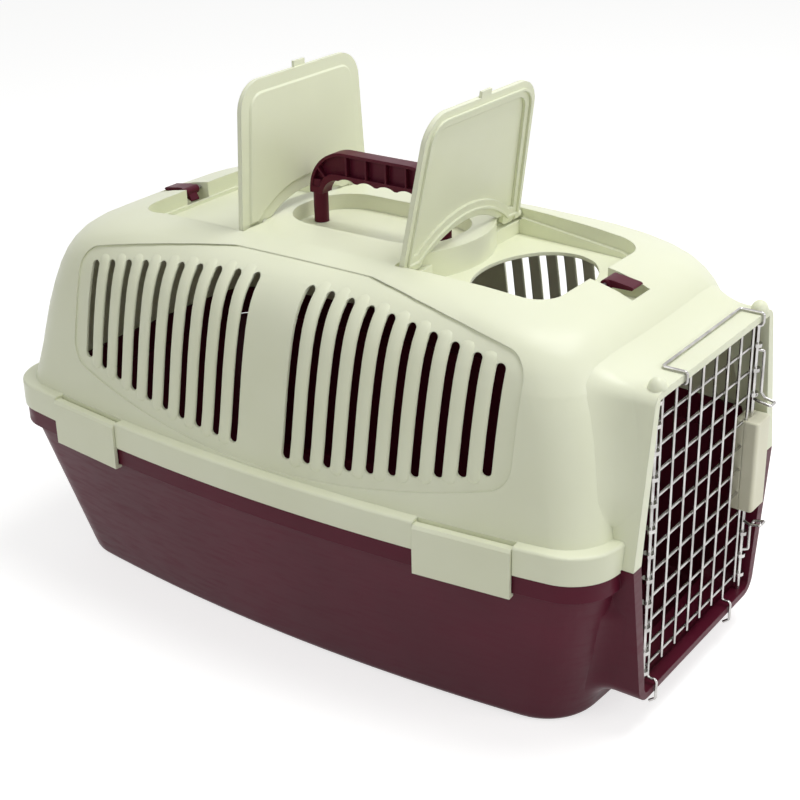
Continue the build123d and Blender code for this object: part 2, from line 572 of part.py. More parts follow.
for y in hooked_low:
    wires.append(bent_wire([
        (DOOR_X, y, grid_low), (DOOR_X, y, grid_low - 6.5), (HOOK_X, y, grid_low - 6.5),
        (HOOK_X, y, grid_low - 23), (HOOK_X - 5, y, grid_low - 27),
    ], 2.4, WIRE))
over = OPENING_TOP - 1.6
wires.append(bent_wire([
    (DOOR_X, hooked_high[0], hook_start), (DOOR_X, hooked_high[0], over), (HOOK_X, hooked_high[0], over),
    (HOOK_X, hooked_high[0], LOOP_Z), (LOOP_X, hooked_high[0], LOOP_Z), (LOOP_X, hooked_high[1], LOOP_Z),
    (HOOK_X, hooked_high[1], LOOP_Z), (HOOK_X, hooked_high[1], over), (DOOR_X, hooked_high[1], over),
    (DOOR_X, hooked_high[1], hook_start),
], 2.4, WIRE))
door_grid = wires[0]
door_grid = door_grid + wires[1:]

socket_low = OPENING_BOTTOM - SOCKET_DEPTH + 0.3
socket_high = LEDGE + SOCKET_DEPTH + 0.6
hinge_rod = upright(ROD_RADIUS, DOOR_X, -ROD_Y, socket_low, socket_high)

# Latch rods slide in the loops and in the housing, each with a finger loop in front
collar_z = HOUSING_MIDDLE + 30
rod_inner = HOUSING_MIDDLE + 15
loop_z = HOUSING_MIDDLE + LOOP_HEIGHT


def latch_rod(tail):
    """Upper latch rod whose finger loop ends on the rod at a height of tail above the loop."""
    rod = upright(ROD_RADIUS, DOOR_X, ROD_Y, rod_inner, socket_high)
    rod = rod + upright(CHAMBER_RADIUS - 0.5, DOOR_X, ROD_Y, collar_z, collar_z + 2)
    return rod + bent_wire([
        (DOOR_X + 0.5, ROD_Y, loop_z + 1.5), (DOOR_X + 8, ROD_Y - 3.5, loop_z + 1.5), (DOOR_X + 17, ROD_Y - 3.5, loop_z),
        (DOOR_X + 17, ROD_Y + 5, loop_z), (DOOR_X + 8, ROD_Y + 5, loop_z + 2), (DOOR_X + 5.4, ROD_Y + 3, loop_z + 7),
        (DOOR_X + 5.4, ROD_Y + 3, loop_z + tail - 0.9), (DOOR_X + 1, ROD_Y + 0.6, loop_z + tail),
    ], 1.4, WIRE)


rod_upper = latch_rod(TAIL_UPPER)
rod_lower = mirror(latch_rod(TAIL_LOWER), Plane(origin=(0, 0, HOUSING_MIDDLE), z_dir=(0, 0, 1)))
rod_lower = rod_lower - upright(ROD_RADIUS + 1, DOOR_X, ROD_Y, -20, socket_low)

spring_low = HOUSING_MIDDLE + 2.2
spring_high = collar_z - 0.3
spring_length = spring_high - spring_low - 2 * SPRING_WIRE
coil_path = Helix(spring_length / SPRING_TURNS, spring_length, SPRING_RADIUS)
coil = sweep(Plane(origin=coil_path @ 0, z_dir=coil_path % 0) * Circle(SPRING_WIRE), path=coil_path)
spring_upper = Pos(DOOR_X, ROD_Y, spring_low + SPRING_WIRE) * coil
spring_lower = mirror(spring_upper, Plane(origin=(0, 0, HOUSING_MIDDLE), z_dir=(0, 0, 1)))

housing = box(HOUSING_BACK, HOUSING_FRONT, HOUSING_INNER_Y, HOUSING_OUTER_Y, housing_low, housing_high)
housing = fillet(housing.edges().filter_by(Axis.Z), 3)
housing = chamfer(housing.faces().sort_by(Axis.Z)[-1].edges() + housing.faces().sort_by(Axis.Z)[0].edges(), 1)
housing = housing - upright(ROD_RADIUS + RUN_CLEAR, DOOR_X, ROD_Y, housing_low - 1, housing_high + 1)
for side in (-1, 1):
    near = HOUSING_MIDDLE + side * 2
    deep = HOUSING_MIDDLE + side * 33
    housing = housing - upright(CHAMBER_RADIUS, DOOR_X, ROD_Y, min(near, deep), max(near, deep))
groove = WIRE + 0.06
housing = housing - upright(groove, DOOR_X, columns[7], housing_low - 1, housing_high + 1)
for z in rows:
    if housing_low < z < housing_high:
        housing = housing - across(groove, row_x, z, HOUSING_INNER_Y - 1, ROD_Y - 3.9)
split = DOOR_X
housing_back = housing - box(split - HOUSING_SPLIT, 330, 60, 110, 100, 210)
housing_front = housing - box(270, split + HOUSING_SPLIT, 60, 110, 100, 210)

parts = {
    "bottom_tub": tub,
    "top_shell": shell,
    "lid_front": lid_front,
    "lid_back": lid_back,
    "lid_hinge_pins": Compound(lid_pins),
    "clip_pins": Compound(clip_pins),
    "handle": handle,
    "handle_collar_front": Pos(LEG_X, 0, 0) * collar,
    "handle_collar_back": Pos(-LEG_X, 0, 0) * collar,
    "latch_lever_front": lever_front,
    "latch_lever_back": mirror_x(lever_front),
    "latch_pin_front": lever_pin,
    "latch_pin_back": mirror_x(lever_pin),
    "door_grid": door_grid,
    "door_hinge_rod": hinge_rod,
    "latch_rod_upper": rod_upper,
    "latch_rod_lower": rod_lower,
    "latch_spring_upper": spring_upper,
    "latch_spring_lower": spring_lower,
    "latch_housing_front": housing_front,
    "latch_housing_back": housing_back,
}
parts.update(clips)
for name, shape in parts.items():
    export_step(shape, f"parts/{name}.step")
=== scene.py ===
import logging
import math
from dataclasses import dataclass
from enum import Enum

import bmesh
import bpy
from mathutils import Matrix, Vector
from mathutils.bvhtree import BVHTree


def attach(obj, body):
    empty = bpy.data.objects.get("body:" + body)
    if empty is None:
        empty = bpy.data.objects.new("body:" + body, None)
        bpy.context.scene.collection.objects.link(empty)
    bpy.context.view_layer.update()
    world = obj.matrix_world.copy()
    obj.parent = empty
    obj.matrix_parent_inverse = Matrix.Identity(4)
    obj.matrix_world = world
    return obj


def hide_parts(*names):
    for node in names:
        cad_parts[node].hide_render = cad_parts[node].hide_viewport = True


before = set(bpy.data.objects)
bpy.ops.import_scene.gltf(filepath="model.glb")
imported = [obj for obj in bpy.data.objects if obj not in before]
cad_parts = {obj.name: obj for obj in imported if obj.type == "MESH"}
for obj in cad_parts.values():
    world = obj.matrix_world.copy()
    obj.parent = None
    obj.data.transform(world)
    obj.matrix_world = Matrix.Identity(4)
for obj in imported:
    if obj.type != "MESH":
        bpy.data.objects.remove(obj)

logging.basicConfig(level=logging.INFO, format="%(message)s")
log = logging.getLogger("pet_carrier")

Colour = tuple[float, float, float]
Point = tuple[float, float, float]
Outline = list[tuple[Vector, Vector]]

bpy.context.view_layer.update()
WELD_DISTANCE = 3e-6
SLIVER_LENGTH = 1e-6


def linear(red: int, green: int, blue: int) -> Colour:
    """Colour as seen on a screen, 0 to 255, turned into the renderer's linear values.

    Args:
        red: red share.
        green: green share.
        blue: blue share.

    Returns:
        The three linear values, each 0 to 1.
    """
    return tuple(
        v / 12.92 if v <= 0.04045 else ((v + 0.055) / 1.055) ** 2.4
        for v in (red / 255, green / 255, blue / 255)
    )


class End(Enum):
    """Which end of the roof a lid covers, as its nodes are named."""

    FRONT = "front"
    BACK = "back"


@dataclass
class Tree:
    """Small helper that adds nodes to a node tree and links them.

    Attributes:
        tree: the node tree that is filled.
    """

    tree: bpy.types.NodeTree

    def add(self, kind: str, **settings: object) -> bpy.types.Node:
        """Add one node.

        Args:
            kind: the node's type name.
            settings: properties that are set on it.

        Returns:
            The new node.
        """
        node = self.tree.nodes.new(kind)
        for key, value in settings.items():
            setattr(node, key, value)
        return node

    def feed(self, socket: bpy.types.NodeSocket, value: object) -> None:
        """Link a socket to another one, or set it to a plain value.

        Args:
            socket: the input that is fed.
            value: an output socket, a number, a vector or a colour.
        """
        if isinstance(value, bpy.types.NodeSocket):
            self.tree.links.new(value, socket)
        else:
            socket.default_value = value

    def math(
        self, operation: str, first: object, second: object = 0.0, third: object = 0.0
    ) -> bpy.types.NodeSocket:
        """Add a Math node.

        Args:
            operation: the sum it makes.
            first: first value or socket.
            second: second value or socket.
            third: third value or socket.

        Returns:
            Its output.
        """
        node = self.add("ShaderNodeMath", operation=operation)
        for socket, value in zip(node.inputs, (first, second, third)):
            self.feed(socket, value)
        return node.outputs[0]

    def combine(self, x: object, y: object, z: object) -> bpy.types.NodeSocket:
        """Join three values into a vector.

        Args:
            x: along the carrier.
            y: across it.
            z: up.

        Returns:
            The vector output.
        """
        node = self.add("ShaderNodeCombineXYZ")
        for socket, value in zip(node.inputs, (x, y, z)):
            self.feed(socket, value)
        return node.outputs[0]

    def mix(self, share: object, low: object, high: object) -> bpy.types.NodeSocket:
        """Mix two colours.

        Args:
            share: how much of the second.
            low: first colour or socket.
            high: second colour or socket.

        Returns:
            The mixed colour.
        """
        node = self.add("ShaderNodeMix", data_type="RGBA")
        self.feed(node.inputs[0], share)
        self.feed(node.inputs[6], (*low, 1.0) if isinstance(low, tuple) else low)
        self.feed(node.inputs[7], (*high, 1.0) if isinstance(high, tuple) else high)
        return node.outputs[2]

    def spread(
        self, value: object, low: float, high: float, out_low: float, out_high: float
    ) -> bpy.types.NodeSocket:
        """Stretch a value from one range to another.

        Args:
            value: the socket that is stretched.
            low: start of its range.
            high: end of its range.
            out_low: start of the new range.
            out_high: end of the new range.

        Returns:
            The stretched value, held inside the new range.
        """
        node = self.add("ShaderNodeMapRange", clamp=True)
        for socket, number in zip(node.inputs, (value, low, high, out_low, out_high)):
            self.feed(socket, number)
        return node.outputs[0]


class SharedGroups:
    """Shader node groups that every finish of the carrier uses."""

    def __init__(self) -> None:
        """Make each group once."""
        self.drift = self._drift()
        self.wear_and_highlight = self._wear_and_highlight()
        self.grain = self._grain()

    @staticmethod
    def _new(
        name: str, inputs: dict[str, tuple[str, float]], outputs: dict[str, str]
    ) -> tuple[Tree, bpy.types.Node, bpy.types.Node]:
        """Start a shader group with named inputs and outputs.

        Args:
            name: the group's name.
            inputs: socket name to its type and default.
            outputs: socket name to its type.

        Returns:
            The helper, the input node and the output node.
        """
        group = bpy.data.node_groups.new(name, "ShaderNodeTree")
        for label, (kind, value) in inputs.items():
            socket = group.interface.new_socket(label, in_out="INPUT", socket_type=kind)
            if kind == "NodeSocketFloat":
                socket.default_value = value
        for label, kind in outputs.items():
            group.interface.new_socket(label, in_out="OUTPUT", socket_type=kind)
        tree = Tree(group)
        return tree, tree.add("NodeGroupInput"), tree.add("NodeGroupOutput")

    def _drift(self) -> bpy.types.NodeTree:
        """Slow drift of tone and gloss over a moulded wall."""
        tree, start, end = self._new(
            "mould drift",
            {"Size": ("NodeSocketFloat", 0.12)},
            {"Tone": "NodeSocketFloat", "Smear": "NodeSocketFloat"},
        )
        place = tree.add("ShaderNodeTexCoord").outputs["Object"]
        scale = tree.math("DIVIDE", 1.0, start.outputs["Size"])
        broad = tree.add("ShaderNodeTexNoise")
        tree.feed(broad.inputs["Vector"], place)
        tree.feed(broad.inputs["Scale"], scale)
        broad.inputs["Detail"].default_value = 3.0
        tree.feed(end.inputs["Tone"], tree.spread(broad.outputs["Fac"], 0.35, 0.65, 0.0, 1.0))
        streak_place = tree.add("ShaderNodeMapping")
        streak_place.inputs["Scale"].default_value = (14.0, 14.0, 90.0)
        tree.feed(streak_place.inputs["Vector"], place)
        streak = tree.add("ShaderNodeTexNoise")
        tree.feed(streak.inputs["Vector"], streak_place.outputs[0])
        streak.inputs["Scale"].default_value = 3.0
        streak.inputs["Detail"].default_value = 5.0
        tree.feed(end.inputs["Smear"], tree.spread(streak.outputs["Fac"], 0.42, 0.72, 0.0, 1.0))
        return tree.tree

    def _wear_and_highlight(self) -> bpy.types.NodeTree:
        """Mask of the outer edges, worn by hands and floors and also lit by a painted highlight, and the
        softened normal there.
        """
        tree, start, end = self._new(
            "edge wear and highlight",
            {"Radius": ("NodeSocketFloat", 0.0008)},
            {"Edge": "NodeSocketFloat", "Normal": "NodeSocketVector"},
        )
        soft = tree.add("ShaderNodeBevel", samples=4)
        tree.feed(soft.inputs["Radius"], start.outputs["Radius"])
        plain = tree.add("ShaderNodeNewGeometry").outputs["Normal"]
        match = tree.add("ShaderNodeVectorMath", operation="DOT_PRODUCT")
        tree.feed(match.inputs[0], soft.outputs[0])
        tree.feed(match.inputs[1], plain)
        broken = tree.add("ShaderNodeTexNoise")
        tree.feed(broken.inputs["Vector"], tree.add("ShaderNodeTexCoord").outputs["Object"])
        broken.inputs["Scale"].default_value = 160.0
        broken.inputs["Detail"].default_value = 4.0
        # Edge mask: partly worn plastic, partly a painted highlight along every edge.
        edge = tree.spread(match.outputs["Value"], 0.985, 0.80, 0.0, 1.0)
        patches = tree.spread(broken.outputs["Fac"], 0.4, 0.6, 0.25, 1.0)
        tree.feed(end.inputs["Edge"], tree.math("MULTIPLY", edge, patches))
        tree.feed(end.inputs["Normal"], soft.outputs[0])
        return tree.tree

    def _grain(self) -> bpy.types.NodeTree:
        """Fine pebble of the mould and its faint orange-peel wave, as a normal."""
        tree, start, end = self._new(
            "mould grain",
            {
                "Size": ("NodeSocketFloat", 0.0012),
                "Depth": ("NodeSocketFloat", 0.00002),
                "Normal": ("NodeSocketVector", 0.0),
            },
            {"Normal": "NodeSocketVector"},
        )
        place = tree.add("ShaderNodeTexCoord").outputs["Object"]
        scale = tree.math("DIVIDE", 1.0, start.outputs["Size"])
        pebble = tree.add("ShaderNodeTexNoise")
        tree.feed(pebble.inputs["Vector"], place)
        tree.feed(pebble.inputs["Scale"], scale)
        pebble.inputs["Detail"].default_value = 2.0
        wave = tree.add("ShaderNodeTexNoise")
        tree.feed(wave.inputs["Vector"], place)
        wave.inputs["Scale"].default_value = 34.0
        wave.inputs["Detail"].default_value = 1.0
        height = tree.math("MULTIPLY_ADD", wave.outputs["Fac"], 2.6, pebble.outputs["Fac"])
        bump = tree.add("ShaderNodeBump")
        bump.inputs["Strength"].default_value = 1.0
        tree.feed(bump.inputs["Distance"], start.outputs["Depth"])
        tree.feed(bump.inputs["Height"], height)
        tree.feed(bump.inputs["Normal"], start.outputs["Normal"])
        tree.feed(end.inputs["Normal"], bump.outputs[0])
        return tree.tree


@dataclass(frozen=True)
class PlasticFinish:
    """Moulded plastic.

    Attributes:
        name: the material's name.
        slot: the record's material slot; not used.
        colour: main colour.
        deep: the tone that it drifts to.
        rubbed_and_highlight: lighter colour of the edges, partly worn plastic and partly a painted highlight.
        wear_and_highlight: how strongly the edges show that worn and painted-highlight colour.
        gloss: roughness where it is smoothest.
        dull: roughness where it is smeared by hands.
        grain: size of the mould's pebble in metres.
        depth: depth of that pebble in metres.
        round: radius that softens the edges in metres.
        glow: share of light that passes through the skin.
        sheen: strength of the surface's reflection.
    """

    name: str
    slot: str
    colour: Colour
    deep: Colour
    rubbed_and_highlight: Colour
    wear_and_highlight: float
    gloss: float
    dull: float
    grain: float
    depth: float
    round: float
    glow: float = 0.0
    sheen: float = 0.5

    def material(self, groups: SharedGroups) -> bpy.types.Material:
        """Build the node material.

        Args:
            groups: the shared shader groups.

        Returns:
            The material.
        """
        material = bpy.data.materials.new(self.name)
        material.use_nodes = True
        tree = Tree(material.node_tree)
        shader = material.node_tree.nodes["Principled BSDF"]
        drift = tree.add("ShaderNodeGroup", node_tree=groups.drift)
        wear_and_highlight = tree.add("ShaderNodeGroup", node_tree=groups.wear_and_highlight)
        wear_and_highlight.inputs["Radius"].default_value = self.round
        grain = tree.add("ShaderNodeGroup", node_tree=groups.grain)
        grain.inputs["Size"].default_value = self.grain
        grain.inputs["Depth"].default_value = self.depth
        tree.feed(grain.inputs["Normal"], wear_and_highlight.outputs["Normal"])
        tone = tree.mix(drift.outputs["Tone"], self.colour, self.deep)
        # Edges are pulled towards the lighter edge colour: partly worn plastic, partly a painted highlight.
        edge = tree.math("MULTIPLY", wear_and_highlight.outputs["Edge"], self.wear_and_highlight)
        tree.feed(shader.inputs["Base Color"], tree.mix(edge, tone, self.rubbed_and_highlight))
        smear = tree.spread(drift.outputs["Smear"], 0.0, 1.0, self.gloss, self.dull)
        tree.feed(shader.inputs["Roughness"], smear)
        tree.feed(shader.inputs["Normal"], grain.outputs["Normal"])
        shader.inputs["IOR"].default_value = 1.49
        shader.inputs["Specular IOR Level"].default_value = self.sheen
        if self.glow:
            shader.inputs["Subsurface Weight"].default_value = self.glow
            shader.inputs["Subsurface Radius"].default_value = (1.0, 0.95, 0.7)
            shader.inputs["Subsurface Scale"].default_value = 0.004
        return material


@dataclass(frozen=True)
class MetalFinish:
    """Plated wire or plain steel.

    Attributes:
        name: the material's name.
        slot: the record's material slot; not used.
        colour: bright colour of the plating.
        tarnish: colour of its duller patches.
        gloss: roughness where bright.
        dull: roughness where tarnished.
    """

    name: str
    slot: str
    colour: Colour
    tarnish: Colour
    gloss: float
    dull: float

    def material(self, groups: SharedGroups) -> bpy.types.Material:
        """Build the node material.

        Args:
            groups: the shared shader groups.

        Returns:
            The material.
        """
        material = bpy.data.materials.new(self.name)
        material.use_nodes = True
        tree = Tree(material.node_tree)
        shader = material.node_tree.nodes["Principled BSDF"]
        shader.inputs["Metallic"].default_value = 1.0
        drift = tree.add("ShaderNodeGroup", node_tree=groups.drift)
        drift.inputs["Size"].default_value = 0.015
        grain = tree.add("ShaderNodeGroup", node_tree=groups.grain)
        grain.inputs["Size"].default_value = 0.0008
        grain.inputs["Depth"].default_value = 0.000004
        tree.feed(grain.inputs["Normal"], tree.add("ShaderNodeNewGeometry").outputs["Normal"])
        tree.feed(shader.inputs["Base Color"], tree.mix(drift.outputs["Tone"], self.colour, self.tarnish))
        smear = tree.spread(drift.outputs["Smear"], 0.0, 1.0, self.gloss, self.dull)
        tree.feed(shader.inputs["Roughness"], smear)
        tree.feed(shader.inputs["Normal"], grain.outputs["Normal"])
        return material


# Each plastic gives its colour, its drift tone, then a lighter edge colour that is partly worn plastic and
# partly a painted highlight.
CREAM = PlasticFinish(
    "cream plastic", "cream_plastic", linear(232, 235, 210), linear(228, 231, 204), linear(240, 242, 224),
    wear_and_highlight=0.30, gloss=0.32, dull=0.42, grain=0.0012, depth=0.000012, round=0.0011, glow=0.08, sheen=0.30,
)
BURGUNDY = PlasticFinish(
    "burgundy plastic", "burgundy_plastic", linear(88, 22, 42), linear(80, 19, 37), linear(122, 54, 72),
    wear_and_highlight=0.25, gloss=0.34, dull=0.46, grain=0.0012, depth=0.000014, round=0.0010, sheen=0.16,
)
IVORY = PlasticFinish(
    "ivory plastic", "ivory_plastic", linear(232, 230, 208), linear(226, 223, 198), linear(240, 238, 220),
    wear_and_highlight=0.3, gloss=0.42, dull=0.52, grain=0.0010, depth=0.000014, round=0.0014, glow=0.05, sheen=0.3,
)
WIRE = MetalFinish("plated wire", "wire", (0.62, 0.61, 0.60), (0.42, 0.41, 0.40), gloss=0.16, dull=0.30)
STEEL = MetalFinish("drawn steel", "steel_pin", (0.50, 0.50, 0.51), (0.36, 0.36, 0.37), gloss=0.28, dull=0.42)


class Palette:
    """Holds the carrier's materials, made once."""

    def __init__(self) -> None:
        """Build every finish's material."""
        groups = SharedGroups()
        self.made = {f.name: f.material(groups) for f in (CREAM, BURGUNDY, IVORY, WIRE, STEEL)}

    def dress(self, piece: bpy.types.Object, finish: PlasticFinish | MetalFinish) -> None:
        """Give a piece its finish's material.

        Args:
            piece: the object to dress.
            finish: its finish.
        """
        piece.data.materials.clear()
        piece.data.materials.append(self.made[finish.name])


def object_from(name: str, mesh: bpy.types.Mesh) -> bpy.types.Object:
    """Put a mesh into the scene as an object at the origin.

    Args:
        name: the piece's name.
        mesh: its mesh.

    Returns:
        The object.
    """
    made = bpy.data.objects.new(name, mesh)
    bpy.context.scene.collection.objects.link(made)
    return made


def smooth_copy(node: str, name: str, angle: float) -> bpy.types.Object:
    """Copy a CAD node, weld its triangles and shade its curved faces smoothly.

    Args:
        node: the CAD node's name.
        name: the new piece's name.
        angle: edges sharper than this, in degrees, stay crisp.

    Returns:
        The copy, which rides on nothing yet.
    """
    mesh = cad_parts[node].data.copy()
    work = bmesh.new()
    work.from_mesh(mesh)
    bmesh.ops.remove_doubles(work, verts=work.verts, dist=WELD_DISTANCE)
    bmesh.ops.dissolve_degenerate(work, edges=work.edges, dist=SLIVER_LENGTH)
    work.to_mesh(mesh)
    work.free()
    for label in ("custom_normal", "sharp_face", "sharp_edge"):
        if label in mesh.attributes:
            mesh.attributes.remove(mesh.attributes[label])
    mesh.shade_smooth()
    mesh.set_sharp_from_angle(angle=math.radians(angle))
    piece = object_from(name, mesh)
    even = piece.modifiers.new("even shading", "WEIGHTED_NORMAL")
    even.keep_sharp = True
    even.weight = 90
    return piece


@dataclass
class SubAssembly:
    """A group of pieces that are built, dressed and put on their bodies together.

    Attributes:
        palette: the materials.
    """

    palette: Palette

    def carry(
        self, node: str, body: str, finish: PlasticFinish | MetalFinish, angle: float = 30.0
    ) -> bpy.types.Object:
        """Show a CAD node as a smooth, dressed copy.

        Args:
            node: the CAD node's name.
            body: the body that it rides on.
            finish: its finish.
            angle: edges sharper than this stay crisp.

        Returns:
            The new piece.
        """
        piece = smooth_copy(node, f"{node}_skin", angle)
        self.settle(piece, body, finish, node)
        return piece

    def settle(
        self, piece: bpy.types.Object, body: str, finish: PlasticFinish | MetalFinish, *nodes: str
    ) -> None:
        """Dress a piece, put it on its body and let it stand for its CAD nodes.

        Args:
            piece: the finished piece.
            body: the body that it rides on.
            finish: its finish.
            nodes: CAD nodes that it replaces.
        """
        self.palette.dress(piece, finish)
        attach(piece, body)
        if nodes:
            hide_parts(*nodes)
        log.info("%s: %d faces, rides on %s", piece.name, len(piece.data.polygons), body)

    def build(self) -> None:
        """Make the pieces of this sub-assembly."""
        raise NotImplementedError


@dataclass
class CamView:
    """The photograph's camera.

    Attributes:
        place: where it stands.
        yaw: turn about Z in degrees, clockwise from +Y.
        pitch: tilt above the horizon in degrees.
        roll: turn about its own axis in degrees.
        lens: focal length in millimetres for a 36 mm sensor.
    """

    place: Point = (0.737481, -0.991047, 0.742438)
    yaw: float = -36.097
    pitch: float = -25.046
    roll: float = -1.342
    lens: float = 70.653

    def build(self) -> None:
        """Create the camera and make it the scene's own."""
        yaw, pitch, roll = (math.radians(v) for v in (self.yaw, self.pitch, self.roll))
        ahead = Vector((math.sin(yaw) * math.cos(pitch), math.cos(yaw) * math.cos(pitch), math.sin(pitch)))
        right = Vector((math.cos(yaw), -math.sin(yaw), 0.0))
        up = right.cross(ahead)
        right_rolled = math.cos(roll) * right + math.sin(roll) * up
        up_rolled = -math.sin(roll) * right + math.cos(roll) * up
        turn = Matrix((right_rolled, up_rolled, -ahead)).transposed()
        data = bpy.data.cameras.new("photo camera")
        data.lens = self.lens
        data.sensor_width = 36.0
        data.clip_start = 0.05
        camera = bpy.data.objects.new("photo camera", data)
        camera.matrix_world = Matrix.Translation(self.place) @ turn.to_4x4()
        bpy.context.scene.collection.objects.link(camera)
        bpy.context.scene.camera = camera


@dataclass
class Lamp:
    """One soft box.

    Attributes:
        name: its name.
        place: where it stands.
        aim: the point that it faces.
        size: its width and height in metres.
        power: its power in watts.
        colour: its colour.
    """

    name: str
    place: Point
    aim: Point
    size: tuple[float, float]
    power: float
    colour: Colour = (1.0, 1.0, 1.0)

    def build(self) -> None:
        """Create the lamp."""
        data = bpy.data.lights.new(self.name, "AREA")
        data.shape = "RECTANGLE"
        data.size, data.size_y = self.size
        data.energy = self.power
        data.color = self.colour
        lamp = bpy.data.objects.new(self.name, data)
        lamp.location = self.place
        lamp.rotation_euler = (Vector(self.aim) - Vector(self.place)).to_track_quat("-Z", "Y").to_euler()
        bpy.context.scene.collection.objects.link(lamp)


@dataclass
class Studio:
    """Pale floor, white surround and soft boxes.

    Attributes:
        floor_half: half of the floor's side in metres.
        sky: strength of the surround as light.
        glow: share of the floor's white that no shadow takes away.
    """

    floor_half: float = 9.0
    sky: float = 0.36
    glow: float = 0.68
    lamps: tuple[Lamp, ...] = (
        Lamp("key", (0.5, 0.35, 2.0), (0.0, 0.0, 0.2), (1.1, 0.9), 21.5),
        Lamp("front", (-0.5, -1.9, 1.3), (0.0, 0.0, 0.15), (1.4, 1.0), 5.5, (1.0, 0.995, 0.98)),
        Lamp("end", (2.0, 0.2, 1.1), (0.2, 0.0, 0.15), (0.9, 0.9), 9.0),
    )

    def build(self) -> None:
        """Create the floor, the world and the lamps."""
        self._world()
        self._floor()
        for lamp in self.lamps:
            lamp.build()
        bpy.context.scene.view_settings.view_transform = "Standard"

    @staticmethod
    def _seen(tree: Tree) -> bpy.types.NodeSocket:
        """Return 1 for rays by which the surround is looked at, and 0 for those that only light."""
        path = tree.add("ShaderNodeLightPath")
        seen = tree.math("MAXIMUM", path.outputs["Is Camera Ray"], path.outputs["Is Glossy Ray"])
        return tree.math("MAXIMUM", seen, path.outputs["Is Transmission Ray"])

    def _world(self) -> None:
        """White where it is seen, softer where it lights."""
        world = bpy.data.worlds.new("white surround")
        world.use_nodes = True
        bpy.context.scene.world = world
        tree = Tree(world.node_tree)
        ground = world.node_tree.nodes["Background"]
        ground.inputs["Color"].default_value = (1.0, 1.0, 1.0, 1.0)
        tree.feed(ground.inputs["Strength"], tree.spread(self._seen(tree), 0.0, 1.0, self.sky, 1.0))

    def _floor(self) -> None:
        """A flat pale floor that keeps the shadow of the carrier."""
        half = self.floor_half
        mesh = bpy.data.meshes.new("floor")
        corners = [(-half, -half, 0), (half, -half, 0), (half, half, 0), (-half, half, 0)]
        mesh.from_pydata(corners, [], [(0, 1, 2, 3)])
        floor = object_from("floor", mesh)
        material = bpy.data.materials.new("pale floor")
        material.use_nodes = True
        tree = Tree(material.node_tree)
        nodes = material.node_tree.nodes
        nodes.remove(nodes["Principled BSDF"])
        plain = tree.add("ShaderNodeBsdfDiffuse")
        plain.inputs["Color"].default_value = (0.80, 0.80, 0.78, 1.0)
        paper = tree.add("ShaderNodeBsdfDiffuse")
        paper.inputs["Color"].default_value = (0.62, 0.62, 0.61, 1.0)
        white = tree.add("ShaderNodeEmission")
        white.inputs["Strength"].default_value = self.glow
        bright = tree.add("ShaderNodeAddShader")
        tree.feed(bright.inputs[0], paper.outputs[0])
        tree.feed(bright.inputs[1], white.outputs[0])
        choice = tree.add("ShaderNodeMixShader")
        tree.feed(choice.inputs[0], self._seen(tree))
        tree.feed(choice.inputs[1], plain.outputs[0])
        tree.feed(choice.inputs[2], bright.outputs[0])
        tree.feed(nodes["Material Output"].inputs["Surface"], choice.outputs[0])
        mesh.materials.append(material)


